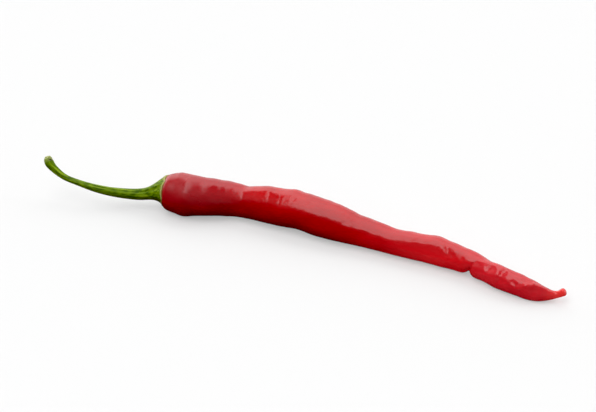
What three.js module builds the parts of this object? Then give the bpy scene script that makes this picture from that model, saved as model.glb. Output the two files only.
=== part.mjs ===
import * as THREE from 'three';

// A long red chilli, picked and lying on its side: a fleshy pod, a green calyx that caps its
// shoulder, and the cut stem. Millimetres, +Z up, resting on z = 0, with the tip towards +X.

// Driving dimensions of the pod
const POD_REACH = 160.5;        // calyx rim to tip, straight along X
const POD_BOW = 7.4;            // how far the belly stands sideways of the calyx
const TIP_LIFT = 3.3;           // how far the hooked tip curls up
const SHOULDER_DIAMETER = 15.1;
const WAIST_DIAMETER = 13.3;
const BELLY_DIAMETER = 14.8;
const MIDDLE_DIAMETER = 11;
const TAIL_DIAMETER = 10;
const HEEL_DIAMETER = 8.3;
const TIP_DIAMETER = 2.6;
const TIP_ROUND = 0.9;          // length of the tip's rounded end
const SHOULDER_LENGTH = 6;      // calyx rim to the full shoulder
const CROWN_HEIGHT = 0.9;       // the pod's crown above the rim, under the calyx

// Driving dimensions of the calyx
const CALYX_DIAMETER = 12.3;
const CALYX_LENGTH = 9.4;       // neck to rim
const CALYX_FLARE = 2.3;        // 1 is a straight cone, more is a trumpet
const CALYX_EDGE = 0.35;        // thickness of the rim's edge
const NECK_DIAMETER = 4.4;

// Driving dimensions of the stem
const STEM_REACH = 46;          // calyx rim to the cut end, straight along X
const STEM_SWEEP = 10.4;        // how far it swings sideways
const STEM_RISE = 9.6;          // how far the cut end stands above the pod's axis
const STEM_DIAMETER = 3.6;
const STEM_THIN_DIAMETER = 2.3;
const KNUCKLE_DIAMETER = 3;     // the swelling at the cut end
const CUT_DIAMETER = 2.4;

const SEAT_GAP = 0.3;           // clearance between pieces that grow on each other

// Fineness of the surfaces
const POD_SIDES = 24;
const STEM_SIDES = 12;
const CROWN_STEPS = 7;
const SHOULDER_STEPS = 4;
const TIP_STEPS = 3;
const POD_STEPS = 56;
const CALYX_STEPS = 11;
const STEM_STEPS = 34;
const SPINE_STEPS_PER_POINT = 60;

const { lerp } = THREE.MathUtils;

// Along the pod: share of its reach, diameter, share of the bow, share of the tip's lift
const podStations = [
  { at: SHOULDER_LENGTH / POD_REACH, diameter: SHOULDER_DIAMETER, bow: 0.1, lift: 0 },
  { at: 0.09, diameter: SHOULDER_DIAMETER, bow: 0.26, lift: 0 },
  { at: 0.15, diameter: lerp(SHOULDER_DIAMETER, WAIST_DIAMETER, 0.75), bow: 0.76, lift: 0 },
  { at: 0.2, diameter: WAIST_DIAMETER, bow: 0.95, lift: 0 },
  { at: 0.33, diameter: BELLY_DIAMETER, bow: 1, lift: 0 },
  { at: 0.44, diameter: lerp(BELLY_DIAMETER, MIDDLE_DIAMETER, 0.4), bow: 0.87, lift: 0 },
  { at: 0.52, diameter: MIDDLE_DIAMETER, bow: 0.79, lift: 0 },
  { at: 0.6, diameter: lerp(MIDDLE_DIAMETER, TAIL_DIAMETER, 0.7), bow: 0.7, lift: 0 },
  { at: 0.7, diameter: TAIL_DIAMETER, bow: 0.63, lift: 0 },
  { at: 0.78, diameter: lerp(TAIL_DIAMETER, HEEL_DIAMETER, 0.5), bow: 0.35, lift: 0 },
  { at: 0.85, diameter: HEEL_DIAMETER, bow: -0.16, lift: 0 },
  { at: 0.91, diameter: lerp(HEEL_DIAMETER, TIP_DIAMETER, 0.17), bow: -0.39, lift: 0 },
  { at: 0.955, diameter: lerp(HEEL_DIAMETER, TIP_DIAMETER, 0.66), bow: -0.33, lift: 0.08 },
  { at: 0.98, diameter: TIP_DIAMETER, bow: -0.25, lift: 0.5 },
  { at: 1, diameter: TIP_DIAMETER, bow: -0.15, lift: 1 },
];

// Back along the stem from the rim: share of its reach, diameter, shares of the sweep and the rise
const stemStations = [
  { at: 1, diameter: CUT_DIAMETER, sweep: 0.9, rise: 1 },
  { at: 0.985, diameter: KNUCKLE_DIAMETER, sweep: 0.95, rise: 0.8 },
  { at: 0.94, diameter: KNUCKLE_DIAMETER, sweep: 1, rise: 0.6 },
  { at: 0.83, diameter: STEM_THIN_DIAMETER, sweep: 1, rise: 0.28 },
  { at: 0.7, diameter: STEM_THIN_DIAMETER, sweep: 0.98, rise: 0.1 },
  { at: 0.55, diameter: lerp(STEM_DIAMETER, STEM_THIN_DIAMETER, 0.5), sweep: 0.9, rise: -0.04 },
  { at: 0.4, diameter: STEM_DIAMETER, sweep: 0.66, rise: -0.14 },
  { at: 0.2, diameter: NECK_DIAMETER, sweep: 0.31, rise: -0.14 },
];

// One spine runs from the cut end through the calyx to the tip, and every piece is bent along it.
const axisHeight = SHOULDER_DIAMETER / 2;
const spine = new THREE.CatmullRomCurve3([
  ...stemStations.map(({ at, sweep, rise }) =>
    new THREE.Vector3(-at * STEM_REACH, -sweep * STEM_SWEEP, axisHeight + rise * STEM_RISE)),
  new THREE.Vector3(0, 0, axisHeight),
  ...podStations.map(({ at, diameter, bow, lift }) =>
    new THREE.Vector3(at * POD_REACH, bow * POD_BOW, diameter / 2 + lift * TIP_LIFT)),
]);
spine.arcLengthDivisions = SPINE_STEPS_PER_POINT * (spine.points.length - 1);
const spineLengths = spine.getLengths();
const spineLength = spineLengths.at(-1);

// Distance along the spine at one of its points, counted from the calyx rim
const distanceAtPoint = (index) => spineLengths[index * SPINE_STEPS_PER_POINT];
const rimDistance = distanceAtPoint(stemStations.length);
const stemDistance = (station) => distanceAtPoint(station) - rimDistance;
const podDistance = (station) => distanceAtPoint(stemStations.length + 1 + station) - rimDistance;
const shoulderDistance = podDistance(0);

// Bends a solid that stands along Y, with y counted from the calyx rim, along the spine.
function bendAlongSpine(geometry) {
  const position = geometry.attributes.position;
  const vertical = new THREE.Vector3(0, 0, 1);
  const vertex = new THREE.Vector3();
  for (let i = 0; i < position.count; i += 1) {
    vertex.fromBufferAttribute(position, i);
    const share = THREE.MathUtils.clamp((vertex.y + rimDistance) / spineLength, 0, 1);
    const tangent = spine.getTangentAt(share);
    const side = new THREE.Vector3().crossVectors(tangent, vertical).normalize();
    const up = new THREE.Vector3().crossVectors(side, tangent);
    const bent = spine.getPointAt(share);
    bent.addScaledVector(side, vertex.x);
    bent.addScaledVector(up, vertex.z);
    position.setXYZ(i, bent.x, bent.y, bent.z);
  }
  geometry.computeVertexNormals();
  return geometry;
}

// The pod's crown and shoulder are one blunt dome, just as wide at the rim as the calyx seats on.
const domeLength = shoulderDistance + CROWN_HEIGHT;
const seatRadius = CALYX_DIAMETER / 2 - CALYX_EDGE - SEAT_GAP;
const domeFullness = (share) => 1 - share ** 3;
const domePower = Math.log(seatRadius / (SHOULDER_DIAMETER / 2))
  / Math.log(domeFullness(shoulderDistance / domeLength));

// Outline of the dome between two distances from the calyx rim
function domeOutline(from, to, steps) {
  const angleAt = (distance) => Math.acos((shoulderDistance - distance) / domeLength);
  const points = [];
  for (let step = 0; step <= steps; step += 1) {
    const share = Math.cos(lerp(angleAt(from), angleAt(to), step / steps));
    const radius = SHOULDER_DIAMETER / 2 * domeFullness(share) ** domePower;
    points.push(new THREE.Vector2(radius, shoulderDistance - share * domeLength));
  }
  return points;
}

// The crown is the part of the dome under the calyx, from the axis to the rim.
const crownOutline = () => domeOutline(-CROWN_HEIGHT, 0, CROWN_STEPS);

// The rounded end of the tip, from its full width to the axis
function tipOutline(lastDistance) {
  const points = [];
  for (let step = 1; step <= TIP_STEPS; step += 1) {
    const angle = Math.PI / 2 * step / TIP_STEPS;
    const radius = step === TIP_STEPS ? 0 : TIP_DIAMETER / 2 * Math.cos(angle);
    points.push(new THREE.Vector2(radius, lastDistance - TIP_ROUND * (1 - Math.sin(angle))));
  }
  return points;
}

function makePod() {
  const lastDistance = podDistance(podStations.length - 1);
  const body = new THREE.SplineCurve(podStations.map(({ diameter }, station) =>
    new THREE.Vector2(diameter / 2, Math.min(podDistance(station), lastDistance - TIP_ROUND))));
  const outline = [
    ...crownOutline(),
    ...domeOutline(0, shoulderDistance, SHOULDER_STEPS).slice(1, -1),
    ...body.getPoints(POD_STEPS),
    ...tipOutline(lastDistance),
  ];
  return bendAlongSpine(new THREE.LatheGeometry(outline, POD_SIDES));
}

// The underside of the calyx is the crown, set back by the seat gap square to its surface.
function undersideOutline() {
  const crown = new THREE.SplineCurve(crownOutline());
  return crown.points.map((point, i) => {
    const tangent = crown.getTangent(i / (crown.points.length - 1));
    const radius = i === 0 ? 0 : point.x + SEAT_GAP * tangent.y;
    return new THREE.Vector2(radius, point.y - SEAT_GAP * tangent.x);
  });
}

// The calyx flares like a trumpet from the neck to its rim, and its underside seats on the crown.
function makeCalyx() {
  const neck = NECK_DIAMETER / 2;
  const rim = CALYX_DIAMETER / 2;
  const outline = [new THREE.Vector2(0, -CALYX_LENGTH)];
  for (let step = 0; step <= CALYX_STEPS; step += 1) {
    const share = step / CALYX_STEPS;
    const radius = neck + (rim - neck) * share ** CALYX_FLARE;
    outline.push(new THREE.Vector2(radius, (share - 1) * CALYX_LENGTH));
  }
  outline.push(...undersideOutline().reverse());
  return bendAlongSpine(new THREE.LatheGeometry(outline, POD_SIDES));
}

// The stem starts a seat gap away from the calyx's neck, as thick as the neck.
function makeStem() {
  const neckEnd = -CALYX_LENGTH - SEAT_GAP;
  const stations = stemStations.map(({ diameter }, station) =>
    new THREE.Vector2(diameter / 2, stemDistance(station)));
  const shaft = new THREE.SplineCurve([
    ...stations.filter(({ y }) => y < neckEnd - NECK_DIAMETER),
    new THREE.Vector2(NECK_DIAMETER / 2, neckEnd),
  ]);
  const outline = [
    new THREE.Vector2(0, shaft.points[0].y),
    ...shaft.getPoints(STEM_STEPS),
    new THREE.Vector2(0, neckEnd),
  ];
  return bendAlongSpine(new THREE.LatheGeometry(outline, STEM_SIDES));
}

function makePiece(name, geometry, color, roughness) {
  const material = new THREE.MeshStandardMaterial({ color, roughness, metalness: 0 });
  const mesh = new THREE.Mesh(geometry, material);
  mesh.name = name;
  return mesh;
}

const chilli = new THREE.Group();
chilli.add(makePiece('pod', makePod(), 0xa80d12, 0.2));
chilli.add(makePiece('calyx', makeCalyx(), 0x5f7a1c, 0.6));
chilli.add(makePiece('stem', makeStem(), 0x6f8a1e, 0.55));

// The origin is the middle of the footprint, on the surface that the chilli lies on.
const box = new THREE.Box3().setFromObject(chilli);
const middle = box.getCenter(new THREE.Vector3());
chilli.position.set(-middle.x, -middle.y, -box.min.z);

export default chilli;
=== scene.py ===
"""A long red chilli with its calyx and cut stem, in detail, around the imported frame.

Shapes are worked out in millimetres along the chilli's spine, as in the CAD part: d is the
distance from the calyx rim (positive towards the tip) and the angle goes round the spine, with
0 degrees at the side that faces -Y and 90 degrees on top. The meshes are in metres.
"""

import math

import bpy
import numpy as np
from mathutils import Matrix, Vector, noise


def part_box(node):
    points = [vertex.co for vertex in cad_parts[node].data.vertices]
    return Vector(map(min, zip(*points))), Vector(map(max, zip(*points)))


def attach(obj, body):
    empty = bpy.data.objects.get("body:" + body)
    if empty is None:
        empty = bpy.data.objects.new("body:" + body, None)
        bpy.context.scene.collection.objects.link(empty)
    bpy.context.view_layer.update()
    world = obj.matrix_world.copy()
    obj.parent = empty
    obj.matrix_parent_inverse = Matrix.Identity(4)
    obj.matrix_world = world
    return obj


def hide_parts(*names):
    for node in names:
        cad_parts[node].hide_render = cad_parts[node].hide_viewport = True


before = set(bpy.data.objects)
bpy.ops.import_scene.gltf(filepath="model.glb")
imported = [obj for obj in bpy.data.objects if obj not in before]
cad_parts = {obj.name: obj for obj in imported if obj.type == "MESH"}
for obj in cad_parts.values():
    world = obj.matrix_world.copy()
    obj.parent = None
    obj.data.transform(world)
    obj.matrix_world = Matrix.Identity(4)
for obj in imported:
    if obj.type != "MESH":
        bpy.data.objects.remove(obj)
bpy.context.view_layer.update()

MM = 0.001

# Driving dimensions, the same as the CAD part's, in millimetres
POD_REACH = 160.5
POD_BOW = 7.4
TIP_LIFT = 3.3
SHOULDER = 15.1
WAIST = 13.3
BELLY = 14.8
MIDDLE = 11
TAIL = 10
HEEL = 8.3
TIP = 2.6
TIP_ROUND = 0.9
SHOULDER_LENGTH = 6
CROWN_HEIGHT = 0.9
CALYX_DIAMETER = 12.3
CALYX_LENGTH = 9.4
CALYX_FLARE = 2.3
CALYX_EDGE = 0.35
NECK = 4.4
STEM_REACH = 46
STEM_SWEEP = 10.4
STEM_RISE = 9.6
STEM = 3.6
STEM_THIN = 2.3
KNUCKLE = 3
CUT = 2.4
SEAT_GAP = 0.3


def lerp(a, b, share):
    return a + (b - a) * share


# Along the pod: share of its reach, diameter, share of the bow, share of the tip's lift
POD_STATIONS = [
    (SHOULDER_LENGTH / POD_REACH, SHOULDER, 0.1, 0),
    (0.09, SHOULDER, 0.26, 0),
    (0.15, lerp(SHOULDER, WAIST, 0.75), 0.76, 0),
    (0.2, WAIST, 0.95, 0),
    (0.33, BELLY, 1, 0),
    (0.44, lerp(BELLY, MIDDLE, 0.4), 0.87, 0),
    (0.52, MIDDLE, 0.79, 0),
    (0.6, lerp(MIDDLE, TAIL, 0.7), 0.7, 0),
    (0.7, TAIL, 0.63, 0),
    (0.78, lerp(TAIL, HEEL, 0.5), 0.35, 0),
    (0.85, HEEL, -0.16, 0),
    (0.91, lerp(HEEL, TIP, 0.17), -0.39, 0),
    (0.955, lerp(HEEL, TIP, 0.66), -0.33, 0.08),
    (0.98, TIP, -0.25, 0.5),
    (1, TIP, -0.15, 1),
]

# Back along the stem from the rim: share of its reach, diameter, shares of the sweep and rise.
# The stem curves a little differently here from in the CAD part.
STEM_STATIONS = [
    (1, CUT, 0.9, 1),
    (0.985, KNUCKLE, 0.95, 0.8),
    (0.94, KNUCKLE, 1, 0.6),
    (0.83, STEM_THIN, 1, 0.28),
    (0.7, STEM_THIN, 0.98, 0.15),
    (0.55, lerp(STEM, STEM_THIN, 0.5), 0.9, 0.02),
    (0.4, STEM, 0.66, -0.13),
    (0.2, NECK, 0.31, -0.2),
]

AXIS_HEIGHT = SHOULDER / 2
SPINE_STEPS = 120


# ---------------------------------------------------------------- the spine

def centripetal(points, steps):
    """Positions and directions along a centripetal Catmull-Rom curve through the points."""
    padded = [2 * points[0] - points[1], *points, 2 * points[-1] - points[-2]]
    t = np.linspace(0, 1, steps, endpoint=False)[:, None]
    places, directions = [], []
    for p0, p1, p2, p3 in zip(padded, padded[1:], padded[2:], padded[3:]):
        t0, t1, t2 = (math.sqrt(np.linalg.norm(b - a)) for a, b in ((p0, p1), (p1, p2), (p2, p3)))
        start = ((p1 - p0) / t0 - (p2 - p0) / (t0 + t1) + (p2 - p1) / t1) * t1
        end = ((p2 - p1) / t1 - (p3 - p1) / (t1 + t2) + (p3 - p2) / t2) * t1
        square = -3 * p1 + 3 * p2 - 2 * start - end
        cube = 2 * p1 - 2 * p2 + start + end
        places.append(p1 + start * t + square * t ** 2 + cube * t ** 3)
        directions.append(start + 2 * square * t + 3 * cube * t ** 2)
    places.append(points[-1][None])
    directions.append(end[None])
    return np.vstack(places), np.vstack(directions)


def unit(vectors):
    return vectors / np.linalg.norm(vectors, axis=-1, keepdims=True)


stem_points = [np.array([-at * STEM_REACH, -sweep * STEM_SWEEP, AXIS_HEIGHT + rise * STEM_RISE])
               for at, _, sweep, rise in STEM_STATIONS]
pod_points = [np.array([at * POD_REACH, bow * POD_BOW, diameter / 2 + lift * TIP_LIFT])
              for at, diameter, bow, lift in POD_STATIONS]
rim_point = np.array([0, 0, AXIS_HEIGHT])
spine_places, spine_directions = centripetal([*stem_points, rim_point, *pod_points], SPINE_STEPS)
chords = np.linalg.norm(np.diff(spine_places, axis=0), axis=1)
spine_d = np.concatenate([[0], np.cumsum(chords)])
spine_d -= spine_d[len(STEM_STATIONS) * SPINE_STEPS]
stem_d = [spine_d[i * SPINE_STEPS] for i in range(len(STEM_STATIONS))]
pod_d = [spine_d[(len(STEM_STATIONS) + 1 + i) * SPINE_STEPS] for i in range(len(POD_STATIONS))]
SHOULDER_D = pod_d[0]
TIP_D = pod_d[-1]
CUT_D = stem_d[0]


def along(values, d):
    """The spine's values, one row for each step, at distances d from the rim."""
    return np.stack([np.interp(d, spine_d, values[:, i]) for i in range(3)], axis=-1)


# Near the rim the cross-sections slide along the spine: further out to one side, further above
# the spine, and all by the same shift. The slopes have no unit; the shift and reach are in mm.
RIM_TURN = -0.03
RIM_PITCH = 0.13
RIM_SHIFT = 0.3
RIM_SLIDE_REACH = 12


def bend(d, radius, angle):
    """Points at distance d along the spine and radius out from it, as an array of x, y, z."""
    d, radius, angle = np.broadcast_arrays(d, radius, angle)
    tangent = unit(along(spine_directions, d))
    side = unit(np.cross(tangent, [0, 0, 1]))
    up = np.cross(side, tangent)
    near_rim = np.cos(np.clip(d / RIM_SLIDE_REACH, -1, 1) * math.pi / 2) ** 2
    sideways, upwards = radius * np.cos(angle), radius * np.sin(angle)
    slid = (RIM_SHIFT + RIM_TURN * sideways + RIM_PITCH * upwards) * near_rim
    return (along(spine_places, d) + side * sideways[..., None]
            + up * upwards[..., None] + tangent * slid[..., None])


# ---------------------------------------------------------------- outlines

def spline_outline(points, steps):
    """A uniform Catmull-Rom curve through (d, radius) points, as two arrays."""
    points = np.array(points, float)
    padded = np.vstack([points[:1], points, points[-1:]])
    t = np.linspace(0, 1, steps, endpoint=False)[:, None]
    pieces = []
    for p0, p1, p2, p3 in zip(padded, padded[1:], padded[2:], padded[3:]):
        start, end = (p2 - p0) / 2, (p3 - p1) / 2
        pieces.append(p1 + start * t + (-3 * p1 + 3 * p2 - 2 * start - end) * t ** 2
                      + (2 * p1 - 2 * p2 + start + end) * t ** 3)
    pieces.append(points[-1:])
    return np.vstack(pieces)


dome_length = SHOULDER_D + CROWN_HEIGHT
seat_radius = CALYX_DIAMETER / 2 - CALYX_EDGE - SEAT_GAP
dome_power = (math.log(seat_radius / (SHOULDER / 2))
              / math.log(1 - (SHOULDER_D / dome_length) ** 3))


def dome_outline(steps):
    """(d, radius) from the crown's middle, under the calyx, to the full shoulder."""
    share = np.cos(np.linspace(0, math.pi / 2, steps))
    radius = SHOULDER / 2 * (1 - share ** 3) ** dome_power
    return np.stack([SHOULDER_D - share * dome_length, radius], axis=1)


def tip_outline(steps):
    """(d, radius) round the end of the tip."""
    angle = np.linspace(0, math.pi / 2, steps)[1:]
    return np.stack([TIP_D - TIP_ROUND * (1 - np.sin(angle)), TIP / 2 * np.cos(angle)], axis=1)


def even_steps(outline, step):
    """The same outline with points a fixed distance apart."""
    lengths = np.concatenate([[0], np.cumsum(np.linalg.norm(np.diff(outline, axis=0), axis=1))])
    at = np.linspace(0, lengths[-1], max(2, round(lengths[-1] / step)))
    return np.stack([np.interp(at, lengths, outline[:, i]) for i in range(2)], axis=1)


def pod_outline(step):
    body = spline_outline([(min(d, TIP_D - TIP_ROUND), diameter / 2)
                           for d, (_, diameter, _, _) in zip(pod_d, POD_STATIONS)], 60)
    return even_steps(np.vstack([dome_outline(60)[:-1], body, tip_outline(12)]), step)


# ---------------------------------------------------------------- surface relief

def field(size, seed, points):
    """Smooth noise from -1 to 1 at each point, with lumps of about this size."""
    offset = Vector((seed * 17.3, seed * 5.1, -seed * 9.7))
    flat = points.reshape(-1, 3) / np.array(size)
    values = [noise.noise(Vector(p) + offset) for p in flat.tolist()]
    return np.array(values).reshape(points.shape[:-1])


def straight(d, radius, angle):
    """The same point on the chilli as if it were pulled straight."""
    d, radius, angle = np.broadcast_arrays(d, radius, angle)
    return np.stack([d, radius * np.cos(angle), radius * np.sin(angle)], axis=-1)


def distance_to(mark, d, angle, radius):
    """Distance over the skin, in mm, from a mark that runs from one (d, degrees) to another."""
    start, end = mark
    turn = (angle - math.radians(start[1]) + math.pi) % (2 * math.pi) - math.pi
    x, y = d - start[0], turn * radius
    run_x, run_y = end[0] - start[0], math.radians(end[1] - start[1]) * radius
    share = np.clip((x * run_x + y * run_y) / (run_x ** 2 + run_y ** 2 + 1e-9), 0, 1)
    return np.hypot(x - share * run_x, y - share * run_y)


# ---------------------------------------------------------------- meshes

def grid_mesh(name, places, coordinates, facts):
    """A closed mesh from rings of points, its first and last rings gathered to a point.

    The rings run towards the tip, so that the faces look outward.
    """
    rings, sides = places.shape[:2]
    inner = places[1:-1].reshape(-1, 3)
    points = np.vstack([places[0].mean(0)[None], inner, places[-1].mean(0)[None]]) * MM
    column = np.arange(sides)
    following = (column + 1) % sides
    faces = [(0, 1 + a, 1 + b) for a, b in zip(column, following)]
    for ring in range(rings - 3):
        low = 1 + ring * sides
        high = low + sides
        faces += zip(low + column, high + column, high + following, low + following)
    last = 1 + (rings - 3) * sides
    faces += [(last + b, last + a, len(points) - 1) for a, b in zip(column, following)]
    mesh = bpy.data.meshes.new(name)
    mesh.from_pydata(points.tolist(), [], [tuple(map(int, face)) for face in faces])
    mesh.shade_smooth()
    give(mesh, "straight", coordinates, "FLOAT_VECTOR")
    for key, values in facts.items():
        give(mesh, key, values[..., None], "FLOAT")
    made = bpy.data.objects.new(name, mesh)
    bpy.context.scene.collection.objects.link(made)
    return made


def give(mesh, name, values, kind):
    """Stores one value for each vertex, gathered at the ends as the points are."""
    width = values.shape[-1]
    ends = [v.mean(0)[None] for v in (values[0], values[-1])]
    flat = np.vstack([ends[0], values[1:-1].reshape(-1, width), ends[1]])
    attribute = mesh.attributes.new(name, kind, "POINT")
    attribute.data.foreach_set("vector" if width == 3 else "value", flat.ravel())


# ---------------------------------------------------------------- placing in the frame

POD_STEP = 0.35
POD_SIDES = 128


def plain_pod_box():
    outline = pod_outline(1.0)
    angle = np.linspace(0, 2 * math.pi, 72, endpoint=False)[None]
    places = bend(outline[:, :1] + 0 * angle, outline[:, 1:] + 0 * angle, angle + 0 * outline[:, :1])
    return places.reshape(-1, 3).min(0), places.reshape(-1, 3).max(0)


low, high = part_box("pod")
plain_low, plain_high = plain_pod_box()
spine_places += (np.array(low + high) / MM - (plain_low + plain_high)) / 2


# ---------------------------------------------------------------- the pod

# Soft swells and dents of the skin: start, end, height and half-width in mm
SWELLS = [
    # the full shoulder, and the wavy line along the top
    ((9.3, -80), (9.3, -5), 0.70, 4.0),
    ((3.2, 20), (3.2, 72), -0.40, 3.2),
    ((5.0, 95), (5.0, 150), 0.45, 3.5),
    ((17, 95), (17, 150), -0.12, 4.0),
    ((32.5, 105), (32.5, 160), -0.50, 2.6),
    ((41.5, 100), (41.5, 150), 0.45, 3.2),
    ((52.5, 105), (52.5, 150), 0.35, 3.0),
    ((77.4, 100), (77.4, 150), -0.40, 4.5),
    ((94, 100), (94, 150), -0.60, 5.5),
    ((111, 100), (111, 150), 0.70, 3.6),
    ((131, 100), (131, 150), -0.60, 3.6),
    ((162.6, 70), (162.6, 150), 0.42, 1.3),
    # along the bottom
    ((8.7, -75), (8.7, -40), 0.30, 3.0),
    ((55.5, -80), (55.5, -35), -0.45, 5.0),
    ((72, -80), (66, -35), 0.30, 6.0),
    ((119, -80), (119, -35), -0.30, 3.0),
    ((133, -80), (133, -30), -0.35, 3.5),
    ((150.5, -80), (153, -30), 0.60, 3.4),
    # the flat front of the tail and the ridge above it
    ((90, 60), (121, 68), 0.17, 2.4),
    ((105, 65), (121, 68), 0.17, 1.9),
    ((98, 34), (120, 34), -0.20, 2.0),
    ((132, 80), (141, 84), 0.38, 1.7),
    ((111.5, 54), (112.5, 46), -0.18, 1.3),
    ((116.4, 60), (118.6, 42), -0.26, 1.3),
    ((121.5, 52), (123.0, 40), -0.20, 1.2),
    # dents and ridges near the tip
    ((134.9, 48), (135.6, 56), -0.42, 1.2),
    ((139.9, 62), (140.6, 72), -0.42, 1.2),
    ((139.6, 12), (140.2, 20), -0.45, 1.3),
    ((137.0, 35), (138.0, 45), 0.20, 1.4),
    ((144.6, 38), (145.6, 30), -0.42, 1.1),
    ((147.4, 20), (149.0, 42), 0.25, 0.9),
    ((149.0, 42), (151.0, 64), 0.42, 0.9),
    ((151.0, 64), (156.0, 78), 0.42, 1.0),
    ((151.4, 20), (152.4, 32), -0.35, 1.3),
    # small pits in the middle
    ((54.0, 61), (54.4, 66), -0.11, 0.6),
    ((59.0, 63), (59.4, 68), -0.11, 0.6),
    ((75.5, 42), (76.5, 44), -0.10, 0.8),
    # shallow dents across the shoulder
    ((15.2, 15), (15.2, 66), -0.34, 2.4),
    ((20.5, 18), (20.5, 55), -0.14, 1.7),
]

# Sharp creases across the skin, in the same terms
CREASES = [
    ((11.0, 20), (10.6, 68), 0.72, 4.2),
    ((32.6, 4), (31.9, 74), -0.90, 4.5),
    ((37.3, 25), (37.1, 62), -0.13, 1.3),
    ((44.3, 32), (44.0, 68), -0.15, 1.4),
    ((49.0, 38), (48.6, 72), -0.10, 1.1),
    ((116.3, 58), (117.5, 18), -0.20, 0.8),
    ((125.1, -85), (125.5, -30), -2.0, 1.2),
    ((125.5, -30), (126.6, 0), -0.9, 1.1),
    ((126.6, 0), (128.4, 46), -0.55, 1.0),
]

# Unevenness of the skin: height in mm, the size of its lumps along, sideways and up, its seed, and
# whether it grows on the rugged tail
UNEVEN = [
    (0.12, (17, 9, 9), 1, False),
    (0.06, (4.5, 5, 5), 2, True),
    (0.026, (1.6, 1.6, 1.6), 3, False),
    (0.04, (3.2, 12, 12), 4, True),
    (0.025, (1.9, 6, 6), 7, False),
]
FAR_HEIGHT, FAR_SIZE, FAR_SEED = 0.17, (3.4, 9, 9), 8
FAR_ONSET = 3                # how sharply the far side's unevenness sets in

RUGGED_FROM = 108
RUGGED_OVER = 25
CREASE_ROUND = 0.1           # rounding of a crease's bottom, in half-widths
CALM_RADIUS = 2.5            # thinner than this, the relief fades
CALM_FROM = 1
CALM_OVER = 4


def pod_relief(d, radius, angle):
    """How far the skin stands out from the plain pod, in millimetres."""
    at = straight(d, radius, angle)
    rugged = 1 + np.clip((d - RUGGED_FROM) / RUGGED_OVER, 0, 1)
    relief = np.zeros(d.shape)
    for height, size, seed, grows in UNEVEN:
        relief += height * field(size, seed, at) * (rugged if grows else 1)
    far_side = np.clip(-FAR_ONSET * np.cos(angle), 0, 1)
    relief += FAR_HEIGHT * field(FAR_SIZE, FAR_SEED, at) * far_side
    for start, end, height, width in SWELLS:
        relief += height * np.exp(-(distance_to((start, end), d, angle, radius) / width) ** 2)
    for start, end, height, width in CREASES:
        near = distance_to((start, end), d, angle, radius) / width
        relief += height * np.exp(CREASE_ROUND - np.hypot(near, CREASE_ROUND))
    calm = np.clip(radius / CALM_RADIUS, 0, 1) * np.clip((d - CALM_FROM) / CALM_OVER, 0, 1)
    return relief * calm


def make_pod():
    outline = pod_outline(POD_STEP)
    angle = np.linspace(0, 2 * math.pi, POD_SIDES, endpoint=False)[None]
    d = outline[:, :1] + 0 * angle
    radius = outline[:, 1:] + 0 * angle
    angle = angle + 0 * d
    relief = pod_relief(d, radius, angle)
    places = bend(d, radius + relief, angle)
    places[..., 2] = np.maximum(places[..., 2], 0)
    return grid_mesh("pod_flesh", places, straight(d, radius, angle), {})


# ---------------------------------------------------------------- calyx and stem

GREEN_SIDES = 96
CUT_DOME = 0.4
KNUCKLE_SWELL = 0.26
KNUCKLE_FROM_CUT = 2.5
KNUCKLE_SPREAD = 1.8
END_ROUND = 1.1
END_NARROWING = 0.3          # share of the radius lost at the cut end
END_FADE = 2.5               # how far the paler cut end reaches

# Lobes of the calyx's edge: height in mm, how many go round, and where they start in radians
RIM_LOBES = [(0.28, 5, 0.6 + math.pi / 2), (0.12, 11, 2), (0.06, 23, 0)]
RIM_WIDENING = 0.4           # how much further out a longer lobe reaches
RIM_CALM = 0.8               # the ribs fade this far from the edge, to a share of their height
RIM_CALM_SHARE = 0.15
# width in mm of the painted highlight along the calyx's edge
RIM_HIGHLIGHT_WIDTH = 0.35

# The calyx's underside, as it turns in from the edge and follows the crown
EDGE_TURN_IN = 0.15
EDGE_DROP = 0.1
UNDER_INSET = 0.1
UNDER_LIFT = 0.12

# Ribs of the calyx and stem: how many go round, and their heights in mm
RIB_COUNT = 5
FINE_RIB_COUNT = 11
FINE_RIB_SHARE = 0.5         # of the height of the others
FINE_RIB_START = 1           # radians round from the others
RIB_TWIST = 0.012            # radians for each mm along
FINE_RIB_TWIST_SHARE = 0.7
STEM_RIB = 0.07
CALYX_RIB = 0.2
FLARE_FROM = -14
FLARE_OVER = 12

# Knobbles of the calyx and grain of both: height, the size of the lumps in mm, and the seed
KNOBBLES = (0.12, (2.5, 1.6, 1.6), 5)
GRAIN = (0.04, (5, 0.9, 0.9), 6)
NOMINAL_RADIUS = 3           # where the knobbles and grain are looked up, on every section alike

# A dark scar beside the cut end, on top: from one (d, degrees) to another, and its width in mm
SCAR = ((CUT_D + 1.5, 102), (CUT_D + 2.1, 118))
SCAR_WIDTH = 0.6


def green_radius(d, rim):
    """Radius of the stem and calyx; rim is where the calyx ends at that angle."""
    share = np.clip((d + CALYX_LENGTH) / (rim + CALYX_LENGTH), 0, 1)
    edge = CALYX_DIAMETER / 2 + RIM_WIDENING * rim
    calyx = NECK / 2 + (edge - NECK / 2) * share ** CALYX_FLARE
    shaft = spline_outline([(station_d, diameter / 2)
                            for station_d, (_, diameter, _, _) in zip(stem_d[:-1], STEM_STATIONS)]
                           + [(-CALYX_LENGTH, NECK / 2)], 40)
    return np.where(d > -CALYX_LENGTH, calyx, np.interp(d, shaft[:, 0], shaft[:, 1]))


def rim_line(angle):
    """How far the calyx's edge reaches past the plain rim, in low lobes."""
    return sum(height * np.sin(count * angle + start) for height, count, start in RIM_LOBES)


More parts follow.
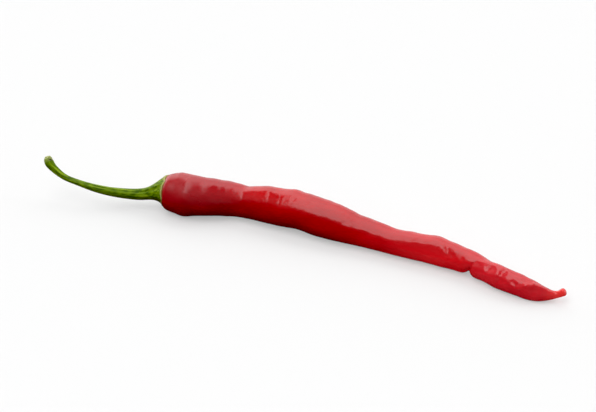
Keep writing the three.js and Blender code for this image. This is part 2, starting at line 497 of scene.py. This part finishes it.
def green_relief(d, angle):
    """Ribs and knobbles, shared by the calyx and the stem so that they meet unseen."""
    twist = RIB_TWIST * d
    flare = np.clip((d - FLARE_FROM) / FLARE_OVER, 0, 1)
    ribs = np.cos(RIB_COUNT * (angle + twist))
    fine_angle = angle + FINE_RIB_TWIST_SHARE * twist
    ribs += FINE_RIB_SHARE * np.cos(FINE_RIB_COUNT * fine_angle + FINE_RIB_START)
    at = straight(d, NOMINAL_RADIUS + 0 * angle, angle)
    relief = ribs * lerp(STEM_RIB, CALYX_RIB, flare)
    for (height, size, seed), share in ((KNOBBLES, flare), (GRAIN, 1)):
        relief += height * share * field(size, seed, at)
    return relief


def make_calyx():
    angle = np.linspace(0, 2 * math.pi, GREEN_SIDES, endpoint=False)[None]
    rim = rim_line(angle)
    share = np.linspace(0, 1, 48)[:, None]
    d = -CALYX_LENGTH + (rim + CALYX_LENGTH) * share
    relief = green_relief(d, angle) * np.clip((rim - d) / RIM_CALM, RIM_CALM_SHARE, 1)
    radius = green_radius(d, rim) + relief
    # the underside, from the rim back to the middle, just clear of the pod's crown
    dome = dome_outline(60)
    under = np.linspace(0, 1, 10)[1:, None]
    under_radius = np.maximum(radius[-1:] - CALYX_EDGE - UNDER_INSET, 0) * (1 - under)
    under_d = np.interp(under_radius, dome[:, 1], dome[:, 0]) - UNDER_LIFT
    turned_in = radius[-1:] - EDGE_TURN_IN
    first = np.interp(turned_in, dome[:, 1], dome[:, 0]) + EDGE_DROP
    d = np.vstack([d[:1], d, first, under_d])
    radius = np.vstack([0 * radius[:1], radius, turned_in, under_radius])
    angle = angle + 0 * d
    # painted highlight: a pale band along the calyx's edge
    facts = {"edge": np.exp(-((d - rim) / RIM_HIGHLIGHT_WIDTH) ** 2)}
    return grid_mesh("calyx_cap", bend(d, radius, angle), straight(d, radius, angle), facts)


def make_stem():
    angle = np.linspace(0, 2 * math.pi, GREEN_SIDES, endpoint=False)[None]
    d = np.linspace(CUT_D, -CALYX_LENGTH, 170)[:, None] + 0 * angle
    radius = green_radius(d, 0 * d) + green_relief(d, angle)
    radius += KNUCKLE_SWELL * np.exp(-((d - CUT_D - KNUCKLE_FROM_CUT) / KNUCKLE_SPREAD) ** 2)
    rounding = np.clip(1 - (d - CUT_D) / END_ROUND, 0, 1)
    radius *= 1 - END_NARROWING * rounding ** 2
    # the cut end, a shallow dome
    share = np.linspace(0, 1, 8)[:-1, None] + 0 * angle
    d = np.vstack([CUT_D - CUT_DOME * (1 - share ** 2), d, d[-1:]])
    radius = np.vstack([radius[:1] * share, radius, 0 * radius[:1]])
    angle = angle + 0 * d
    scar = distance_to(SCAR, d, angle, np.maximum(radius, 0.5)) / SCAR_WIDTH
    end = np.clip((CUT_D + END_FADE - d) / END_FADE, 0, 1)
    facts = {"end": end, "scar": np.exp(-scar ** 2)}
    return grid_mesh("stem_stalk", bend(d, radius, angle), straight(d, radius, angle), facts)


# ---------------------------------------------------------------- materials

class Finish:
    """A node material whose patterns follow the chilli's own straightened coordinates, in mm."""

    def __init__(self, name):
        self.material = bpy.data.materials.new(name)
        self.material.use_nodes = True
        self.tree = self.material.node_tree
        self.shader = self.tree.nodes["Principled BSDF"]
        self.place = self.attribute("straight", "Vector")

    def add(self, kind, feeds=(), **settings):
        made = self.tree.nodes.new(kind)
        for key, value in settings.items():
            setattr(made, key, value)
        for key, value in feeds:
            self.feed(made.inputs[key], value)
        return made

    def feed(self, socket, value):
        if isinstance(value, bpy.types.NodeSocket):
            self.tree.links.new(value, socket)
        else:
            socket.default_value = value

    def attribute(self, name, output="Fac"):
        return self.add("ShaderNodeAttribute", attribute_name=name).outputs[output]

    def noise(self, size, detail=2.0, seed=0.0):
        """Noise with lumps of this size in mm: one number, or three for d, side and up."""
        size = size if isinstance(size, tuple) else (size,) * 3
        scaled = self.add("ShaderNodeMapping", [
            ("Vector", self.place),
            ("Location", (seed, seed * 2.3, -seed)),
            ("Scale", tuple(1 / s for s in size)),
        ])
        return self.add("ShaderNodeTexNoise", [
            ("Vector", scaled.outputs[0]), ("Scale", 1.0), ("Detail", detail),
        ]).outputs[0]

    def spread(self, value, low, high, to_low=0.0, to_high=1.0):
        return self.add("ShaderNodeMapRange", [
            ("Value", value), ("From Min", low), ("From Max", high),
            ("To Min", to_low), ("To Max", to_high),
        ], interpolation_type="SMOOTHSTEP").outputs[0]

    def scale(self, value, factor):
        return self.add("ShaderNodeMath", [(0, value), (1, factor)], operation="MULTIPLY").outputs[0]

    def mix(self, share, a, b):
        made = self.add("ShaderNodeMix", data_type="RGBA")
        self.feed(made.inputs[0], share)
        for socket, value in ((made.inputs[6], a), (made.inputs[7], b)):
            self.feed(socket, value if isinstance(value, bpy.types.NodeSocket) else (*value, 1))
        return made.outputs[2]

    def bump(self, height, depth, below=None):
        feeds = [("Height", height), ("Strength", 1.0), ("Distance", depth * MM)]
        if below is not None:
            feeds.append(("Normal", below))
        return self.add("ShaderNodeBump", feeds).outputs[0]

    def set(self, **values):
        for key, value in values.items():
            self.feed(self.shader.inputs[key.replace("_", " ")], value)

    def put_on(self, piece):
        piece.data.materials.append(self.material)


def pod_finish():
    made = Finish("pod_skin")
    along_pod, _, upwards = made.add("ShaderNodeSeparateXYZ", [(0, made.place)]).outputs
    cloudy = made.spread(made.noise((16, 9, 9), 3), 0.35, 0.68)
    # painted shade: the front half of the pod is coloured darker than the tail, in place of the shade
    # it lies in
    front = made.mix(cloudy, (0.38, 0.0020, 0.0036), (0.47, 0.0026, 0.0046))
    tail = made.mix(cloudy, (0.47, 0.0070, 0.0105), (0.56, 0.0085, 0.0125))
    colour = made.mix(made.spread(along_pod, 78, 104), front, tail)
    colour = made.mix(made.spread(along_pod, 122, 134), colour,
                      made.mix(cloudy, (0.42, 0.0090, 0.0150), (0.51, 0.0110, 0.0175)))
    # painted light: the tip is coloured brighter and more orange, as if lit through
    colour = made.mix(made.spread(along_pod, 154, 162), colour, (0.66, 0.0300, 0.0270))
    # a faint wax on the shoulder that dulls the gloss, and painted shade that darkens the shoulder's
    # colour above its waistline
    wax_and_shade = made.spread(along_pod, 18, 44, 1, 0)
    shoulder_painted_shade = made.scale(wax_and_shade, made.spread(upwards, -1.2, 0.8))
    colour = made.mix(shoulder_painted_shade, colour, (0.34, 0.0045, 0.0085))
    gloss = made.spread(cloudy, 0, 1, 0.13, 0.18)
    dull = made.spread(along_pod, 10, 22, 0.13, 0.06)
    roughness = made.add("ShaderNodeMath", [(0, gloss), (1, made.scale(wax_and_shade, dull))]).outputs[0]
    skin = made.bump(made.noise(0.7, 3, seed=4), 0.03)
    skin = made.bump(made.noise((2.2, 2.6, 2.6), 2, seed=9), 0.10, skin)
    made.set(Base_Color=colour, Normal=skin, Roughness=roughness, IOR=1.5)
    return made


def green_finish(name, facts):
    made = Finish(name)
    upwards = made.add("ShaderNodeSeparateXYZ", [(0, made.place)]).outputs[2]
    blotch = made.spread(made.noise((2.6, 1.1, 1.1), 3, seed=2), 0.38, 0.62)
    colour = made.mix(blotch, (0.050, 0.105, 0.001), (0.135, 0.225, 0.0015))
    streak = made.spread(made.noise((9, 0.7, 0.7), 2, seed=6), 0.48, 0.66)
    colour = made.mix(streak, colour, (0.22, 0.32, 0.010))
    # painted shade: the underside is coloured darker and browner
    colour = made.mix(made.spread(upwards, -2.2, -0.2, 0.75, 0), colour, (0.13, 0.085, 0.006))
    if "edge" in facts:
        # painted highlight: the calyx's edge is coloured pale
        colour = made.mix(made.attribute("edge"), colour, (0.42, 0.40, 0.15))
    if "end" in facts:
        end = made.attribute("end")
        colour = made.mix(end, colour, (0.27, 0.31, 0.07))
        specks = made.spread(made.noise(0.7, 1, seed=15), 0.55, 0.62)
        colour = made.mix(made.scale(end, specks), colour, (0.58, 0.60, 0.34))
        colour = made.mix(made.attribute("scar"), colour, (0.030, 0.018, 0.004))
    relief = made.bump(made.noise((4, 0.35, 0.35), 2, seed=7), 0.05)
    relief = made.bump(made.noise((1.6, 1.0, 1.0), 2, seed=12), 0.12, relief)
    made.set(Base_Color=colour, Normal=relief, Roughness=0.48)
    made.set(Specular_IOR_Level=0.14)
    return made


# ---------------------------------------------------------------- studio

FLOOR_HALF = 3.0
PAPER_COLOUR = (0.685, 0.685, 0.685, 1)
PAPER_SEEN = 0.95            # brightness of plain paper as the camera sees it
PAPER_GLOW_SHARE = 0.4             # painted light: how much glow the camera sees on the paper, softening its shadows
MIRROR_TINT = (1, 0.7, 0.7, 1)

# How bright the paper is to light that bounces off it, along X, and to the gloss, along Y:
# from and to in metres, then the brightness at each
BOUNCE = (0.008, 0.045, 0.11, 0.80)
MIRRORED = (0.003, 0.03, 0.03, 0.9)


def ramp(tree, value, steps):
    """Goes from one brightness to another between two places."""
    made = tree.nodes.new("ShaderNodeMapRange")
    for key, step in zip(("From Min", "From Max", "To Min", "To Max"), steps):
        made.inputs[key].default_value = step
    tree.links.new(value, made.inputs["Value"])
    return made.outputs[0]


def choose_shader(tree, share, a, b):
    """Shader a where the share is 0, and b where it is 1."""
    made = tree.nodes.new("ShaderNodeMixShader")
    for socket, source in zip(made.inputs, (share, a, b)):
        tree.links.new(source, socket)
    return made.outputs[0]


def seen_paper(tree, rays, across):
    """White paper with a slight painted glow for the camera that softens its shadows; bounced light
    finds it darker by the stem.
    """
    white = tree.nodes.new("ShaderNodeMix")
    white.data_type = "RGBA"
    tree.links.new(rays.outputs["Is Camera Ray"], white.inputs[0])
    tree.links.new(ramp(tree, across, BOUNCE), white.inputs[6])
    white.inputs[7].default_value = PAPER_COLOUR
    paper = tree.nodes.new("ShaderNodeBsdfDiffuse")
    tree.links.new(white.outputs[2], paper.inputs["Color"])
    # painted light: a glow on the paper that only the camera sees, lightening its shadows
    painted_glow = tree.nodes.new("ShaderNodeEmission")
    painted_glow.inputs["Strength"].default_value = PAPER_SEEN
    glow_share = tree.nodes.new("ShaderNodeMath")
    glow_share.operation = "MULTIPLY"
    glow_share.inputs[1].default_value = PAPER_GLOW_SHARE
    tree.links.new(rays.outputs["Is Camera Ray"], glow_share.inputs[0])
    return choose_shader(tree, glow_share.outputs[0], paper.outputs[0], painted_glow.outputs[0])


def mirrored_paper(tree, depth):
    """The paper as the gloss shows it: tinted, and brighter behind the chilli than before it."""
    made = tree.nodes.new("ShaderNodeEmission")
    made.inputs["Color"].default_value = MIRROR_TINT
    tree.links.new(ramp(tree, depth, MIRRORED), made.inputs["Strength"])
    return made.outputs[0]


def floor_finish():
    material = bpy.data.materials.new("floor_paper")
    material.use_nodes = True
    tree = material.node_tree
    tree.nodes.clear()
    place = tree.nodes.new("ShaderNodeTexCoord").outputs["Object"]
    apart = tree.nodes.new("ShaderNodeSeparateXYZ")
    tree.links.new(place, apart.inputs[0])
    rays = tree.nodes.new("ShaderNodeLightPath")
    look = choose_shader(tree, rays.outputs["Is Glossy Ray"],
                         seen_paper(tree, rays, apart.outputs["X"]),
                         mirrored_paper(tree, apart.outputs["Y"]))
    output = tree.nodes.new("ShaderNodeOutputMaterial")
    tree.links.new(look, output.inputs[0])
    return material


def make_floor():
    mesh = bpy.data.meshes.new("floor")
    half = FLOOR_HALF
    mesh.from_pydata([(-half, -half, 0), (half, -half, 0), (half, half, 0), (-half, half, 0)],
                     [], [(0, 1, 2, 3)])
    floor = bpy.data.objects.new("floor", mesh)
    bpy.context.scene.collection.objects.link(floor)
    mesh.materials.append(floor_finish())


class Sky:
    """World nodes whose brightness depends on direction only: large soft panels, left and above."""

    def __init__(self):
        world = bpy.data.worlds.new("studio")
        bpy.context.scene.world = world
        world.use_nodes = True
        self.tree = world.node_tree
        self.tree.nodes.clear()
        self.direction = self.tree.nodes.new("ShaderNodeTexCoord").outputs["Generated"]

    def side_of(self, normal, soft, low=0.0, high=1.0, start=0.0):
        """Goes from low to high across the plane with this normal, over a soft edge."""
        dot = self.tree.nodes.new("ShaderNodeVectorMath")
        dot.operation = "DOT_PRODUCT"
        dot.inputs[1].default_value = Vector(normal).normalized()
        self.tree.links.new(self.direction, dot.inputs[0])
        edge = self.tree.nodes.new("ShaderNodeMapRange")
        edge.interpolation_type = "SMOOTHSTEP"
        for key, value in (("From Min", start), ("From Max", start + soft),
                           ("To Min", low), ("To Max", high)):
            edge.inputs[key].default_value = value
        self.tree.links.new(dot.outputs["Value"], edge.inputs["Value"])
        return edge.outputs[0]

    def combine(self, kind, a, b):
        made = self.tree.nodes.new("ShaderNodeMath")
        made.operation = kind
        for socket, value in zip(made.inputs, (a, b)):
            if isinstance(value, bpy.types.NodeSocket):
                self.tree.links.new(value, socket)
            else:
                socket.default_value = value
        return made.outputs[0]

    def show(self, brightness, seen):
        """Lights the scene with the panels, while the camera sees plain white paper."""
        lit = self.tree.nodes.new("ShaderNodeBackground")
        self.tree.links.new(brightness, lit.inputs["Strength"])
        plain = self.tree.nodes.new("ShaderNodeBackground")
        plain.inputs["Strength"].default_value = seen
        rays = self.tree.nodes.new("ShaderNodeLightPath")
        both = choose_shader(self.tree, rays.outputs["Is Camera Ray"], lit.outputs[0],
                             plain.outputs[0])
        output = self.tree.nodes.new("ShaderNodeOutputWorld")
        self.tree.links.new(both, output.inputs[0])


# Brightness of the surroundings as the skin mirrors them; the paper is about 0.9
KEY = 3.1
BACK_LOW = 1.3
ROOM_LEFT = 0.05
ROOM_RIGHT = 0.35
GLOW = 0.7


def yz(elevation):
    """A plane through the X axis: what lies above this elevation, seen from the front over the top."""
    angle = math.radians(elevation)
    return (0, math.sin(angle), math.cos(angle))


def make_sky():
    sky = Sky()
    across = sky.combine("MULTIPLY", sky.side_of((-1, 0, 0), 0.07, start=-0.09),
                         sky.side_of((1, 0, 0), 0.07, start=-0.48))
    front = sky.combine("MULTIPLY", across, sky.side_of(yz(44), 0.08, start=-0.04))
    panel = sky.combine("MAXIMUM", front, sky.side_of(yz(115), 0.2, start=-0.1))
    glow = sky.combine("MULTIPLY", sky.side_of((-1, 0, 0), 0.25, low=0, high=GLOW, start=0.53),
                       sky.side_of(yz(35), 0.4, start=-0.1))
    strength = sky.side_of((0, 1, 0), 0.7, low=KEY, high=BACK_LOW, start=0.3)
    bright = sky.combine("MULTIPLY", panel, strength)
    room = sky.side_of((1, 0, 0), 0.6, low=ROOM_LEFT, high=ROOM_RIGHT, start=0.0)
    rest = sky.combine("MULTIPLY", sky.combine("SUBTRACT", 1.0, panel), sky.combine("ADD", glow, room))
    sky.show(sky.combine("ADD", bright, rest), PAPER_SEEN)


FILL_TOWARDS = (-0.2, -0.6, 1.0)
FILL_STRENGTH = 1.5


def make_fill():
    """Broad overhead light that brightens the paper and the skin without showing in the gloss."""
    lamp = bpy.data.lights.new("fill", "SUN")
    lamp.energy = FILL_STRENGTH
    lamp.angle = math.radians(70)
    light = bpy.data.objects.new("fill", lamp)
    light.rotation_mode = "QUATERNION"
    light.rotation_quaternion = Vector(FILL_TOWARDS).to_track_quat("Z", "Y")
    light.visible_glossy = False
    bpy.context.scene.collection.objects.link(light)


CAMERA_ELEVATION = 30.0
CAMERA_AZIMUTH = 24.25
CAMERA_DISTANCE = 0.629
CAMERA_AIM = Vector((-5.30, 9.05, 7.53)) * MM
LENS = 100
SENSOR_WIDTH = 36


def make_camera():
    data = bpy.data.cameras.new("camera")
    data.lens = LENS
    data.sensor_width = SENSOR_WIDTH
    camera = bpy.data.objects.new("camera", data)
    a, e = math.radians(CAMERA_AZIMUTH), math.radians(CAMERA_ELEVATION)
    back = Vector((math.sin(a) * math.cos(e), -math.cos(a) * math.cos(e), math.sin(e)))
    camera.location = CAMERA_AIM + back * CAMERA_DISTANCE
    camera.rotation_mode = "QUATERNION"
    camera.rotation_quaternion = (-back).to_track_quat("-Z", "Y")
    bpy.context.scene.collection.objects.link(camera)
    bpy.context.scene.camera = camera


DEEPEST_BLACK = 0.006


def set_contrast():
    """Plain colours, with the deepest shadows taken down to black."""
    settings = bpy.context.scene.view_settings
    settings.view_transform = "Standard"
    settings.use_curve_mapping = True
    settings.curve_mapping.black_level = (DEEPEST_BLACK,) * 3
    settings.curve_mapping.update()


# ---------------------------------------------------------------- the scene

make_camera()
set_contrast()
make_floor()
make_sky()
make_fill()

pod = make_pod()
pod_finish().put_on(pod)
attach(pod, "root")
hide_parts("pod")

calyx = make_calyx()
green_finish("calyx_green", ["edge"]).put_on(calyx)
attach(calyx, "root")
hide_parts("calyx")

stem = make_stem()
green_finish("stem_green", ["end"]).put_on(stem)
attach(stem, "root")
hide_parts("stem")
